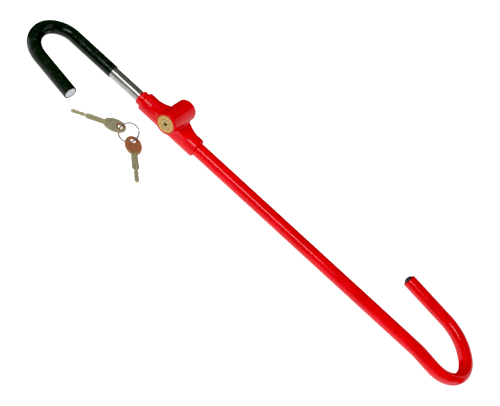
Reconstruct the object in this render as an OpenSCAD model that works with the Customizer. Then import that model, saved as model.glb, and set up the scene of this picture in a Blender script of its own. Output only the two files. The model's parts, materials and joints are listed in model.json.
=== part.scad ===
// Wheel-to-pedal bar lock: a sliding hook bar, a lock head and a tube that ends in a pedal hook.
// Millimetres. X runs along the bar, Z is up, and the origin is on the flat under the lock
// head, below the axis of its cross barrel.

/* [Bar and tube] */
// Diameter of the solid hook rod
rod_d = 12.7; // [12.5:0.05:12.75]
// Outer diameter of the pedal tube
tube_d = 16; // [15.8:0.1:16.2]
// Bore of the pedal tube
tube_bore_d = 13.3; // [13.25:0.05:13.4]
// Bore of the guide sleeve, a running fit on the rod
guide_bore_d = 12.9; // [12.85:0.05:12.95]
// Outer diameter of the vinyl sleeve on the wheel hook
vinyl_d = 14.8; // [14.4:0.1:15.2]
// Height of the bar's axis above the resting flat
rod_z = 11; // [10.9:0.05:11.1]

/* [Wheel hook] */
// Where the vinyl sleeve starts on the rod
vinyl_start_x = -89.9; // [-95:0.1:-88]
// Where the wheel hook's bend starts
wheel_bend_x = -148; // [-150:0.5:-144]
// Tight bend of the wheel hook: centre-line radius
wheel_bend_r = 23.5; // [22:0.5:25]
// Tight bend of the wheel hook: angle
wheel_bend_angle = 97; // [90:1:100]
// Wide bend of the wheel hook: centre-line radius
wheel_wide_r = 37.2; // [35:0.2:40]
// Wide bend of the wheel hook: angle
wheel_wide_angle = 73; // [68:1:78]
// Length of the wheel hook's free leg
wheel_leg = 52; // [45:1:56]

/* [Pedal hook] */
// Where the tube's straight run ends
tube_straight_x = 366; // [350:0.5:380]
// Set-back bend: centre-line radius
setback_r = 46; // [44:0.5:50]
// Set-back bend: angle
setback_angle = 9.2; // [8:0.2:12]
// Straight run between the set-back and the hook
setback_run = 19.4; // [16:0.2:22]
// Tight bend of the hook: centre-line radius
hook_r = 33; // [32:0.2:36]
// Tight bend of the hook: angle
hook_angle = 119.6; // [116:0.2:124]
// Wide bend of the hook: centre-line radius
hook_wide_r = 50.5; // [48:0.5:54]
// Wide bend of the hook: angle
hook_wide_angle = 61.7; // [58:0.1:66]
// Straight tail of the hook
hook_tail = 63.7; // [50:0.1:66]

/* [Lock head] */
// Diameter of the head's sleeve on the tube
head_d = 22.4; // [22.2:0.1:22.8]
// Front end of the head's sleeve, on the wheel side
head_front_x = -40.5; // [-42:0.1:-39.5]
// Rear end of the head's sleeve, on the pedal side
head_rear_x = 39; // [38.5:0.1:41]
// How far the guide sleeve stands out of the head
guide_stand_out = 6.5; // [5:0.1:7]
// Diameter of the guide sleeve's mouth, where it stands out of the head
guide_mouth_d = 16.8; // [16.4:0.1:17.4]
// Outer diameter of the cross barrel
barrel_d = 25; // [24.6:0.1:25.6]
// Height of the barrel's axis above the bar's axis
barrel_rise = 15.2; // [15.2:0.05:15.3]
// Face end of the barrel
barrel_face_y = -22; // [-22.4:0.1:-21.8]
// Back end of the barrel
barrel_back_y = 21.5; // [21.3:0.1:23]

/* [Locking] */
// Diameter of the turning lock bar
bar_d = 20.4; // [20.4:0.02:20.46]
// Spacing of the grooves in the rod, and so of the lock's positions
groove_pitch = 15; // [15:0.5:16]
// Grooves on the pedal side of the one under the bar
grooves_out = 14; // [10:1:14]
// Diameter of the brass plug
plug_d = 12; // [11.8:0.1:12.2]
// Diameter of the lock pins
pin_d = 2.2; // [2:0.1:2.3]
// Spacing of the pins along the plug
pin_pitch = 3.2; // [3:0.1:3.3]

/* [Keys] */
// Length of a key's bow
bow_l = 24.6; // [23:0.2:25]
// Width of a key's bow
bow_w = 18.6; // [17:0.2:20]
// Thickness of a key's bow
bow_t = 1.5; // [1.4:0.1:1.6]
// Bow centre to key tip
key_reach = 46.4; // [45:0.2:48]
// Centre-line radius of the split ring
ring_r = 10.7; // [10.5:0.1:10.9]
// Wire diameter of the split ring
ring_wire_d = 1.3; // [1.1:0.1:1.4]
// Tilt of the split ring where it threads the keys
ring_tilt = 32; // [31:0.5:34]

/* [Hidden] */

$fn = 96;
gap = 0.3;                 // clearance between pieces that move past each other
run_gap = 0.1;             // radial clearance of a running fit
over = 1;                  // how far a cutting tool runs past a face
collar_len = 0.6;          // collar between the runs of a bent bar
collar_rise = 0.1;         // how much wider than the bar the collar is
sleeve_gap = 0.02;         // vinyl sleeve's bore over the rod

red = "#d8101c";
black = "#141614";
chrome = "#c8cac8";
steel = "#9a9ca0";
brass = "#c8a45c";
nickel = "#8f8a68";

barrel_z = rod_z + barrel_rise;
barrel_bore_d = bar_d + 2 * run_gap;
guide_front_x = head_front_x - guide_stand_out;
guide_rear_x = 17;         // the pedal tube starts here, and its step stops the bush

bar_front_y = -6.7;
bar_back_y = 11.3;
bore_end_y = bar_back_y + gap;
scallop_d = rod_d + 3 * gap;
groove_tool_r = bar_d / 2 + gap;

body_back_y = -8.4;
flange_t = 1;
cover_d = barrel_bore_d;
cover_wall = 0.6;
body_d = cover_d - 2 * cover_wall;
plug_neck_d = 10;
clip_groove_d = 8.6;
clip_t = 0.9;
tail_w = 9.2;
tail_t = 4.2;
tail_len = 3;
pin_rows = [45, 135, 225, 315];
pin_ys = [for (i = [0 : 2]) barrel_face_y + 3.4 + i * pin_pitch];
pin_bore_d = pin_d + 0.2;
keyway_r = 2.8;
keyway_w = 1.3;
keyway_depth = 14;

gusset_out_x = 27;         // the webs run out into the sleeve here
gusset_in_x = 12;          // and are widest here, beside the barrel
gusset_out = 8;            // half width and height above the bar's axis where they run out
gusset_half_w = 12;        // half width beside the barrel
gusset_rise = 12.5;        // height above the bar's axis beside the barrel
guide_screw_x = -34;
tube_screw_x = 33;
screw_d = 5;
screw_point_d = 3.4;
screw_key_d = 2.5;
head_chamfer = 1;
face_chamfer = 0.4;
back_chamfer = 2.6;

roll_pin_d = 3;
roll_pin_y = -15.4;        // in line with the middle pins
roll_pin_low = 12.2;       // how far below the barrel's axis the pin starts
roll_pin_len = 4.6;

detent_r = 6;              // radius of the detent track about the barrel's axis
detent_ball_d = 3.6;
detent_y = bore_end_y + 1.25;
track_tube_r = detent_ball_d / 2 + 0.35;

bush_d = tube_bore_d - 2 * run_gap;
bush_len = 12;
bush_front_x = grooves_out * groove_pitch + guide_rear_x + 0.5;
spigot_d = 9;
rod_shoulder_x = bush_front_x - gap;
clip_x = bush_front_x + bush_len + gap;
rod_inner_x = clip_x + 3.4;

dome_h = 3.3;
dome_base_d = 11;
dome_r = (dome_h * dome_h + dome_base_d * dome_base_d / 4) / (2 * dome_h);

hole_back = 6;             // ring hole's distance from the bow's centre
hole_w = 5;
hole_l = 6.2;
shank_r = 3.9;
shank_end = 30;
bit_r = 2.6;
bit_start = 33.6;
fin_t = 1.1;
key_a_bow = [-37.4, -52.7];
key_a_heading = 212.5;
key_b_bow = [-7.6, -56.2];
key_b_heading = -44.7;
hole_z = 4.9;
key_nose_down = 1.4;
key_a_hole = hole_at(key_a_bow, key_a_heading);
key_b_hole = hole_at(key_b_bow, key_b_heading);
ring_span = key_b_hole - key_a_hole;
ring_heading = atan2(ring_span[1], ring_span[0]);
ring_offset = sqrt(ring_r * ring_r - norm(ring_span) * norm(ring_span) / 4);

wheel_path = [
    [vinyl_start_x - wheel_bend_x, 0], [wheel_bend_r, wheel_bend_angle],
    [wheel_wide_r, wheel_wide_angle], [wheel_leg, 0]
];
tube_path = [
    [tube_straight_x - guide_rear_x, 0], [setback_r, -setback_angle], [setback_run, 0],
    [hook_r, hook_angle], [hook_wide_r, hook_wide_angle], [hook_tail, 0]
];

function hole_at(bow, heading) = bow - hole_back * [cos(heading), sin(heading)];

// ---- placing ----

// The bar's axis: children drawn along Z lie along +X from x.
module on_bar(x) {
    translate([x, 0, rod_z]) rotate([0, 90, 0]) children();
}

// The barrel's axis: children drawn along Z lie along +Y from y. Child angle 90 is down.
module in_barrel(y) {
    translate([0, y, barrel_z]) rotate([-90, 0, 0]) children();
}

// A round bar that follows a path of [length, 0] runs and [radius, angle] bends, left positive.
// A hair-thin collar joins each run to the next.
module bent_bar(path, d, i = 0) {
    if (i < len(path)) {
        run = path[i][0];
        turn = path[i][1];
        side = turn < 0 ? -1 : 1;
        if (i > 0)
            translate([-collar_len / 2, 0, 0])
                rotate([0, 90, 0]) cylinder(d = d + collar_rise, h = collar_len);
        if (turn == 0) {
            rotate([0, 90, 0]) cylinder(d = d, h = run);
            translate([run, 0, 0]) bent_bar(path, d, i + 1);
        } else {
            translate([0, side * run, 0]) {
                rotate([0, 0, turn < 0 ? 90 + turn : -90])
                    rotate_extrude(angle = abs(turn)) translate([run, 0]) circle(d = d);
                rotate([0, 0, turn]) translate([0, -side * run, 0]) bent_bar(path, d, i + 1);
            }
        }
    }
}

// A bent bar with a bore that runs out of both ends.
module bent_tube(path, d, bore) {
    difference() {
        bent_bar(path, d);
        bent_bar(path, bore);
        translate([-over, 0, 0]) rotate([0, 90, 0]) cylinder(d = bore, h = 2 * over);
        at_path_end(path) translate([-over, 0, 0]) rotate([0, 90, 0]) cylinder(d = bore, h = 2 * over);
    }
}

// Puts children at the end of a path, turned to its heading.
module at_path_end(path, i = 0) {
    if (i == len(path)) {
        children();
    } else {
        run = path[i][0];
        turn = path[i][1];
        side = turn < 0 ? -1 : 1;
        if (turn == 0) {
            translate([run, 0, 0]) at_path_end(path, i + 1) children();
        } else {
            translate([0, side * run, 0]) rotate([0, 0, turn]) translate([0, -side * run, 0])
                at_path_end(path, i + 1) children();
        }
    }
}

// A disc or bar with both end edges chamfered.
module chamfered(d, h, c_start, c_end) {
    rotate_extrude()
        polygon([[0, 0], [d / 2 - c_start, 0], [d / 2, c_start], [d / 2, h - c_end],
                 [d / 2 - c_end, h], [0, h]]);
}

// A close-wound spring, drawn as a ribbed tube with one rib to a coil.
module coil_spring(d, wire, length) {
    turns = round(length / wire);
    step = length / turns;
    valley = wire * 0.25;
    rotate_extrude($fn = 32) polygon(concat(
        [[d / 2 - wire + valley, 0], [d / 2 - valley, 0]],
        [for (i = [0 : turns - 1]) each [[d / 2, (i + 0.5) * step], [d / 2 - valley, (i + 1) * step]]],
        [for (i = [turns - 1 : -1 : 0])
            each [[d / 2 - wire + valley, (i + 1) * step], [d / 2 - wire, (i + 0.5) * step]]]));
}

// ---- lock head ----

// Webs between barrel and sleeve: a side outline cut by a plan outline.
module head_gussets() {
    intersection() {
        rotate([90, 0, 0]) linear_extrude(height = 3 * gusset_half_w, center = true)
            polygon(gusset_outline(gusset_rise, rod_z));
        linear_extrude(height = rod_z + 2 * gusset_rise) {
            polygon(gusset_outline(gusset_half_w, 0));
            mirror([0, 1]) polygon(gusset_outline(gusset_half_w, 0));
        }
    }
}

// Half of a web's outline, standing on a base line: low at its ends and high beside the barrel.
function gusset_outline(rise, base) = [
    [-gusset_out_x, base], [-gusset_out_x, base + gusset_out], [-gusset_in_x, base + rise],
    [gusset_in_x, base + rise], [gusset_out_x, base + gusset_out], [gusset_out_x, base]
];

module lock_housing() {
    head_len = head_rear_x - head_front_x;
    color(red) difference() {
        union() {
            on_bar(head_front_x) chamfered(head_d, head_len, head_chamfer, head_chamfer);
            in_barrel(barrel_face_y)
                chamfered(barrel_d, barrel_back_y - barrel_face_y, face_chamfer, back_chamfer);
            head_gussets();
        }
        on_bar(head_front_x - over) cylinder(d = tube_d, h = head_len + 2 * over);
        in_barrel(barrel_face_y - over) cylinder(d = barrel_bore_d, h = bore_end_y - barrel_face_y + over);
        detent_bore();
        roll_pin_bore(barrel_z);
        set_screw_bore(guide_screw_x);
        set_screw_bore(tube_screw_x);
        translate([-head_len, -head_d, -head_d]) cube([2 * head_len, 2 * head_d, head_d]);
    }
}

module detent_bore() {
    in_barrel(bore_end_y - over) translate([0, -detent_r, 0])
        cylinder(d = detent_ball_d + 0.4, h = barrel_back_y - bore_end_y + 2 * over);
}

module roll_pin_bore(depth) {
    translate([0, roll_pin_y, 0]) cylinder(d = roll_pin_d, h = depth);
}

module set_screw_bore(x) {
    translate([x, 0, -over]) cylinder(d = screw_d, h = rod_z - tube_d / 2 + 2 * over);
}

// Turned steel sleeve that guides the rod. The lock bar reaches the rod through its notch.
module guide_sleeve() {
    guide_len = guide_rear_x - guide_front_x;
    color(red) difference() {
        union() {
            on_bar(guide_front_x) chamfered(guide_mouth_d, guide_stand_out, 0.8, 0);
            on_bar(guide_front_x) chamfered(tube_d, guide_len, 0.8, 0);
        }
        on_bar(guide_front_x - over) cylinder(d = guide_bore_d, h = guide_len + 2 * over);
        in_barrel(barrel_face_y)
            cylinder(d = barrel_bore_d + 2 * run_gap, h = barrel_back_y - barrel_face_y);
        dog_point(guide_screw_x);
    }
}

module pedal_tube() {
    color(red) difference() {
        translate([guide_rear_x, 0, rod_z]) bent_tube(tube_path, tube_d, tube_bore_d);
        dog_point(tube_screw_x);
    }
}

// The end of a set screw that bites into the tube's wall.
module dog_point(x) {
    translate([x, 0, rod_z - tube_d / 2 - 0.4]) cylinder(d = screw_point_d, h = 1.2);
}

module set_screw(x) {
    color(steel) difference() {
        union() {
            translate([x, 0, gap]) cylinder(d = screw_d, h = rod_z - tube_d / 2 - gap - 0.1);
            dog_point(x);
        }
        translate([x, 0, gap - over]) cylinder(d = screw_key_d, h = 1.8 + over, $fn = 6);
    }
}

module guide_set_screw() {
    set_screw(guide_screw_x);
}

module tube_set_screw() {
    set_screw(tube_screw_x);
}

// Domed plug pressed into the open end of the pedal hook.
module tube_end_plug() {
    color(black) translate([guide_rear_x, 0, rod_z]) at_path_end(tube_path) rotate([0, 90, 0]) {
        translate([0, 0, -10]) cylinder(d = tube_bore_d, h = 10);
        intersection() {
            translate([0, 0, dome_h - dome_r]) sphere(r = dome_r);
            cylinder(d = dome_base_d, h = dome_h + over);
        }
    }
}

// ---- lock cylinder ----

// Radial place of each pin: children drawn along Z point outwards from the barrel's axis.
module each_pin() {
    for (y = pin_ys) for (a = pin_rows)
        in_barrel(y) rotate([0, 0, a]) rotate([0, 90, 0]) children();
}

module cylinder_body() {
    color(brass) difference() {
        union() {
            in_barrel(barrel_face_y) cylinder(d = cover_d, h = flange_t);
            in_barrel(barrel_face_y) cylinder(d = body_d, h = body_back_y - barrel_face_y);
        }
        in_barrel(barrel_face_y - over)
            cylinder(d = plug_d + 0.1, h = body_back_y - barrel_face_y + 2 * over);
        each_pin() translate([0, 0, plug_d / 2 - over]) cylinder(d = pin_bore_d, h = 5, $fn = 32);
        roll_pin_bore(barrel_z - roll_pin_low + roll_pin_len);
    }
}

// Thin brass cover that keeps the springs in their bores.
module cylinder_shell() {
    color(brass) difference() {
        in_barrel(barrel_face_y + flange_t)
            cylinder(d = cover_d, h = body_back_y - barrel_face_y - flange_t);
        in_barrel(barrel_face_y) cylinder(d = body_d, h = body_back_y - barrel_face_y + over);
        roll_pin_bore(barrel_z);
    }
}

// Roll pin from below that holds the cylinder in the barrel.
module cylinder_pin() {
    color(steel) difference() {
        translate([0, roll_pin_y, barrel_z - roll_pin_low]) cylinder(d = roll_pin_d, h = roll_pin_len);
        translate([0, roll_pin_y, barrel_z - roll_pin_low - over]) {
            cylinder(d = 1.6, h = roll_pin_len + 2 * over);
            translate([-0.3, -2, 0]) cube([0.6, 2, roll_pin_len + 2 * over]);
        }
    }
}

module driver_pins() {
    color(steel) each_pin() translate([0, 0, plug_d / 2 + 0.07])
        cylinder(d = pin_d, h = 1.8, $fn = 32);
}

module pin_springs() {
    color(steel) each_pin() translate([0, 0, plug_d / 2 + 1.9])
        coil_spring(pin_d - 0.1, 0.4, body_d / 2 - plug_d / 2 - 1.95);
}

module keyway() {
    in_barrel(barrel_face_y - over) {
        cylinder(d = 3, h = keyway_depth + over, $fn = 48);
        for (a = pin_rows) rotate([0, 0, a]) translate([0, -keyway_w / 2, 0])
            cube([keyway_r, keyway_w, keyway_depth + over]);
    }
}

module cylinder_plug() {
    color(brass) difference() {
        union() {
            in_barrel(barrel_face_y) cylinder(d = plug_d, h = body_back_y - barrel_face_y);
            in_barrel(body_back_y) cylinder(d = plug_neck_d, h = bar_front_y - body_back_y - 0.05);
            in_barrel(bar_front_y - 0.1) tail_block(tail_w, tail_t, tail_len);
        }
        keyway();
        each_pin() translate([0, 0, 2.2]) cylinder(d = pin_bore_d, h = 5, $fn = 32);
        in_barrel(body_back_y + 0.1) difference() {
            cylinder(d = plug_neck_d + over, h = clip_t + 0.1);
            translate([0, 0, -over]) cylinder(d = clip_groove_d, h = clip_t + 3);
        }
    }
}

module tail_block(w, t, h) {
    translate([-w / 2, -t / 2, 0]) cube([w, t, h]);
}

module key_pins() {
    color(brass) each_pin() {
        translate([0, 0, 3.1]) cylinder(d = pin_d, h = plug_d / 2 - 3.1 - 0.05, $fn = 32);
        translate([0, 0, 2.5]) cylinder(d1 = 1.1, d2 = pin_d, h = 0.6, $fn = 32);
    }
}

module plug_clip() {
    color(steel) in_barrel(body_back_y + 0.15) difference() {
        cylinder(d = 14, h = clip_t);
        translate([0, 0, -over]) cylinder(d = clip_groove_d + 0.06, h = clip_t + 2 * over);
        translate([-3, 0, -over]) cube([6, 10, clip_t + 2 * over]);
    }
}

// Steel bar that turns with the plug. Its scallop faces the rod when it is unlocked.
module locking_bar() {
    color(steel) difference() {
        in_barrel(bar_front_y) chamfered(bar_d, bar_back_y - bar_front_y, 0.5, 0.5);
        on_bar(-bar_d) cylinder(d = scallop_d, h = 2 * bar_d);
        in_barrel(bar_front_y - over) tail_block(tail_w + 0.2, tail_t + 0.2, tail_len + over);
        detent_track();
    }
}

// Quarter-turn track for the detent ball, with a deeper seat at each end.
module detent_track() {
    in_barrel(detent_y) {
        rotate([0, 0, 180]) rotate_extrude(angle = 90) translate([detent_r, 0]) circle(r = track_tube_r);
        translate([0, -detent_r, 0]) sphere(r = track_tube_r + 0.1);
        translate([-detent_r, 0, 0]) sphere(r = track_tube_r + 0.1);
    }
}

module detent_ball() {
    color(steel) in_barrel(detent_y) translate([0, -detent_r, 0]) sphere(d = detent_ball_d);
}

module detent_spring() {
    color(steel) in_barrel(detent_y + detent_ball_d / 2 + 0.05) translate([0, -detent_r, 0])
        coil_spring(detent_ball_d - 0.2, 0.5, 3);
}

module detent_screw() {
    screw_start = detent_y + detent_ball_d / 2 + 3.1;
    color(steel) in_barrel(screw_start) translate([0, -detent_r, 0]) difference() {
        cylinder(d = detent_ball_d + 0.4, h = barrel_back_y - screw_start - 0.4);
        translate([0, 0, 1.6]) cylinder(d = 2, h = 5, $fn = 6);
    }
}

// ---- sliding hook bar ----

module stop_bush() {
    color(steel) on_bar(bush_front_x) difference() {
        chamfered(bush_d, bush_len, 0.6, 0.6);
        translate([0, 0, -over]) cylinder(d = spigot_d + 2 * run_gap, h = bush_len + 2 * over);
    }
}

module hook_rod() {
    color(chrome) difference() {
        union() {
            translate([vinyl_start_x, 0, rod_z]) rotate([0, 0, 180]) bent_bar(wheel_path, rod_d);
            on_bar(vinyl_start_x) cylinder(d = rod_d, h = rod_shoulder_x - vinyl_start_x);
            on_bar(rod_shoulder_x) chamfered(spigot_d, rod_inner_x - rod_shoulder_x, 0, 0.6);
        }
        for (i = [-1 : grooves_out]) on_bar(i * groove_pitch)
            rotate_extrude() translate([barrel_rise, 0]) circle(r = groove_tool_r);
        on_bar(clip_x - 0.05) difference() {
            cylinder(d = spigot_d + over, h = 1.1);
            translate([0, 0, -over]) cylinder(d = 7.2, h = 4);
        }
    }
}

module hook_sleeve() {
    color(black) translate([vinyl_start_x, 0, rod_z]) rotate([0, 0, 180])
        bent_tube(wheel_path, vinyl_d, rod_d + sleeve_gap);
}

module bush_clip() {
    color(steel) on_bar(clip_x) difference() {
        cylinder(d = 12.2, h = 1);
        translate([0, 0, -over]) cylinder(d = 7.26, h = 1 + 2 * over);
        translate([-2.6, 0, -over]) cube([5.2, 10, 1 + 2 * over]);
    }
}

// ---- keys ----

// Puts children in a key's own frame: bow centre at the origin, blade along +X.
module at_key(hole, heading) {
    translate([hole[0], hole[1], hole_z]) rotate([0, 0, heading]) rotate([0, key_nose_down, 0])
        translate([hole_back, 0, 0]) children();
}

// Half outline of a key's fin: the shank, its shoulder and the notched bit.
module fin_outline() {
    polygon([
        [9, -0.1], [9, shank_r - 0.5], [13, shank_r - 0.3], [shank_end - 2, shank_r],
        [shank_end, shank_r - 0.4], [shank_end + 1.2, 2], [bit_start, 1.7],
        [bit_start + 0.8, bit_r], [36.4, bit_r], [37.2, 1.9], [38.6, 1.9],
        [39.4, bit_r], [40.2, bit_r], [41, 2.1], [42, 2.1], [42.6, bit_r], [44.4, bit_r],
        [key_reach, 1.2], [key_reach, -0.1]
    ]);
}

module cross_key(hole, heading) {
    color(nickel) at_key(hole, heading) {
        difference() {
            union() {
                translate([0, 0, -bow_t / 2]) linear_extrude(height = bow_t) oval(bow_l, bow_w);
                for (a = [0 : 90 : 270]) rotate([a, 0, 0])
                    translate([0, 0, -fin_t / 2]) linear_extrude(height = fin_t) fin_outline();
                translate([10, 0, 0]) rotate([0, 90, 0]) cylinder(d = 2.8, h = key_reach - 10.4, $fn = 48);
            }
            translate([-hole_back, 0, -5])
                linear_extrude(height = 10) rotate([0, 0, 90]) oval(hole_l, hole_w);
        }
    }
}

// Two round ends and the strip between them, longest along X.
module oval(l, w) {
    for (s = [-1, 1]) translate([s * (l - w) / 2, 0]) circle(d = w);
    square([l - w, w], center = true);
}

module key_a() {
    cross_key(key_a_hole, key_a_heading);
}

module key_b() {
    cross_key(key_b_hole, key_b_heading);
}

module split_ring() {
    mid = (key_a_hole + key_b_hole) / 2;
    color(steel) translate([mid[0], mid[1], hole_z]) rotate([0, 0, ring_heading])
        rotate([ring_tilt, 0, 0]) translate([0, ring_offset, 0])
            rotate_extrude() translate([ring_r, 0]) circle(d = ring_wire_d, $fn = 48);
}

lock_housing();
guide_sleeve();
pedal_tube();
tube_end_plug();
guide_set_screw();
tube_set_screw();
cylinder_body();
cylinder_shell();
cylinder_pin();
driver_pins();
pin_springs();
detent_ball();
detent_spring();
detent_screw();
cylinder_plug();
key_pins();
plug_clip();
locking_bar();
stop_bush();
hook_rod();
hook_sleeve();
bush_clip();
split_ring();
key_a();
key_b();
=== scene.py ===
"""Wheel-to-pedal bar lock: the visual model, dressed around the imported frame.

Lengths are metres in the frame's axes: X runs along the bar, Z is up, and the key face looks
along -Y. Each sub-assembly is a class that builds its own surfaces and dresses them.
"""

import json
import logging
import math
from dataclasses import dataclass
from enum import Enum
from typing import Callable, Optional, Protocol, Sequence, Union

import bmesh
import bpy
import numpy as np
from mathutils import Matrix, Vector


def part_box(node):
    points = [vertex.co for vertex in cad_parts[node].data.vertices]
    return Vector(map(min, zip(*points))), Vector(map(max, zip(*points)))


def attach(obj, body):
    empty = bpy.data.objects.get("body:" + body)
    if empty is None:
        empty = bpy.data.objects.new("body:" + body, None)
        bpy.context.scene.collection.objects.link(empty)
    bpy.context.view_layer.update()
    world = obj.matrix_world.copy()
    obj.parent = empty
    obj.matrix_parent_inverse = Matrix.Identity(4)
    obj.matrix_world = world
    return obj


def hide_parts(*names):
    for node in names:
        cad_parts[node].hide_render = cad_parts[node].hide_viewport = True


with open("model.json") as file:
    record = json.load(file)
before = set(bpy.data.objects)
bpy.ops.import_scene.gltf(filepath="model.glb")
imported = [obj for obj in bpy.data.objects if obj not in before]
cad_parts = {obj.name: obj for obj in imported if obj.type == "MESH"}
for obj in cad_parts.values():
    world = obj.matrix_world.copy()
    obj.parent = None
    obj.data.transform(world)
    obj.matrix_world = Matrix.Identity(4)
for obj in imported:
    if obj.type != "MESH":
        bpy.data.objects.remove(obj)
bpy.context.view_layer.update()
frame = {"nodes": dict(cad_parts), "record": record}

Array = np.ndarray
Triple = tuple[float, float, float]
Piece = bpy.types.Object
Material = bpy.types.Material
Socket = bpy.types.NodeSocket

MM = 0.001
UP = np.array([0.0, 0.0, 1.0])
LOG = logging.getLogger("bar_lock")


# ---------------------------- surfaces


def eased(share: Array) -> Array:
    """A rise from 0 to 1 that starts and ends gently: 3 s^2 - 2 s^3."""
    return share * share * (3 - 2 * share)


def bulged(part: Array, power: float) -> Array:
    """Cosines or sines raised to a power with their sign kept, which squares off a circle."""
    return np.sign(part) * np.abs(part) ** power


def circle(count: int) -> tuple[Array, Array]:
    """Cosines and sines of angles spaced evenly round a circle."""
    angle = np.linspace(0, 2 * math.pi, count, endpoint=False)
    return np.cos(angle), np.sin(angle)


def spun(degrees: float, axis: str) -> Matrix:
    """A turn about one axis."""
    return Matrix.Rotation(math.radians(degrees), 4, axis)


def linked(name: str, data: bpy.types.ID) -> Piece:
    """A new object that holds the data, linked to the scene."""
    made = bpy.data.objects.new(name, data)
    bpy.context.collection.objects.link(made)
    return made


@dataclass
class Skin:
    """A closed surface as arrays, before it becomes a mesh.

    Args:
        points: (n, 3) places of the corners.
        faces: (m, 4) corner numbers of each quad.
    """

    points: Array
    faces: Array

    def outward(self) -> "Skin":
        """Turns the faces round if the volume inside them comes out negative."""
        a, b, c, d = (self.points[self.faces[:, k]] for k in range(4))
        volume = np.einsum("ij,ij->i", a, np.cross(b, c)) + np.einsum("ij,ij->i", a, np.cross(c, d))
        return self if volume.sum() > 0 else Skin(self.points, self.faces[:, ::-1])

    def placed(self, matrix: Matrix) -> "Skin":
        """The same surface moved by a 4 by 4 matrix."""
        m = np.array(matrix)
        return Skin(self.points @ m[:3, :3].T + m[:3, 3], self.faces)

    def with_skin(self, other: "Skin") -> "Skin":
        """This surface and another as one."""
        return Skin(np.vstack([self.points, other.points]),
                    np.vstack([self.faces, other.faces + len(self.points)]))

    def build(self, name: str, sharp_deg: float = 38.0) -> Piece:
        """Makes the mesh object, merges the corners at poles and shades it smooth.

        Args:
            name: the piece's name.
            sharp_deg: edges that fold by more than this stay sharp.

        Returns:
            The new object, at the origin.
        """
        mesh = bpy.data.meshes.new(name)
        mesh.from_pydata(self.points.tolist(), [], self.faces.tolist())
        work = bmesh.new()
        work.from_mesh(mesh)
        bmesh.ops.remove_doubles(work, verts=work.verts, dist=1e-7)
        bmesh.ops.dissolve_degenerate(work, edges=work.edges, dist=1e-8)
        work.to_mesh(mesh)
        work.free()
        mesh.polygons.foreach_set("use_smooth", np.ones(len(mesh.polygons), bool))
        mesh.set_sharp_from_angle(angle=math.radians(sharp_deg))
        mesh.update()
        return linked(name, mesh)


def grid_faces(rows: int, cols: int, wrap_rows: bool) -> Array:
    """Quads between the points of a grid whose columns close on themselves.

    Args:
        rows: number of rows.
        cols: number of points in a row.
        wrap_rows: whether the last row joins the first.

    Returns:
        (m, 4) corner numbers.
    """
    i, j = np.meshgrid(np.arange(rows if wrap_rows else rows - 1), np.arange(cols), indexing="ij")
    i2, j2 = (i + 1) % rows, (j + 1) % cols
    return np.stack([i * cols + j, i2 * cols + j, i2 * cols + j2, i * cols + j2], -1).reshape(-1, 4)


def rounded(corners: Sequence[Triple], closed: bool = False, steps: int = 5) -> Array:
    """An outline whose corners are rounded: each arc touches both edges at r / tan(half angle).

    Args:
        corners: (along, out, radius) of each corner.
        closed: whether the last corner joins the first.
        steps: chords in each arc.

    Returns:
        (n, 2) points of the outline.
    """
    places = np.array([c[:2] for c in corners], float)
    t = np.linspace(0.0, 1.0, steps + 1)[:, None]
    parts = []
    for i, (_, _, radius) in enumerate(corners):
        here = places[i]
        if radius <= 0 or (not closed and i in (0, len(corners) - 1)):
            parts.append(here[None])
            continue
        back, ahead = places[i - 1] - here, places[(i + 1) % len(places)] - here
        back, ahead = back / np.linalg.norm(back), ahead / np.linalg.norm(ahead)
        half = math.acos(float(np.clip(back @ ahead, -1, 1))) / 2
        middle = (back + ahead) / np.linalg.norm(back + ahead)
        centre = here + middle * radius / math.sin(half)
        u = here + back * radius / math.tan(half) - centre
        v = here + ahead * radius / math.tan(half) - centre
        sweep = math.pi - 2 * half
        arc = np.sin((1 - t) * sweep) * u + np.sin(t * sweep) * v
        parts.append(centre + arc / math.sin(sweep))
    return np.concatenate(parts)


def finer(outline: Array, step: float, closed: bool = False) -> Array:
    """The same outline with points no further apart than a step, spaced evenly on each edge."""
    here = outline if closed else outline[:-1]
    there = np.roll(outline, -1, axis=0) if closed else outline[1:]
    counts = np.maximum(1, np.ceil(np.linalg.norm(there - here, axis=1) / step)).astype(int)
    edge = np.repeat(np.arange(len(here)), counts)
    part = np.arange(counts.sum()) - np.repeat(np.cumsum(counts) - counts, counts)
    points = here[edge] + (part / counts[edge])[:, None] * (there - here)[edge]
    return points if closed else np.vstack([points, outline[-1:]])


@dataclass(frozen=True)
class Run:
    """One stretch of a bent bar: straight for `length`, or an arc of `radius` through `turn_deg`.

    `flatten` is the share by which the bend has narrowed the bar's section.
    """

    length: float = 0.0
    radius: float = 0.0
    turn_deg: float = 0.0
    flatten: float = 0.0

    @property
    def span(self) -> float:
        """Length along the centre line."""
        return self.length if self.turn_deg == 0 else self.radius * math.radians(abs(self.turn_deg))


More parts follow.
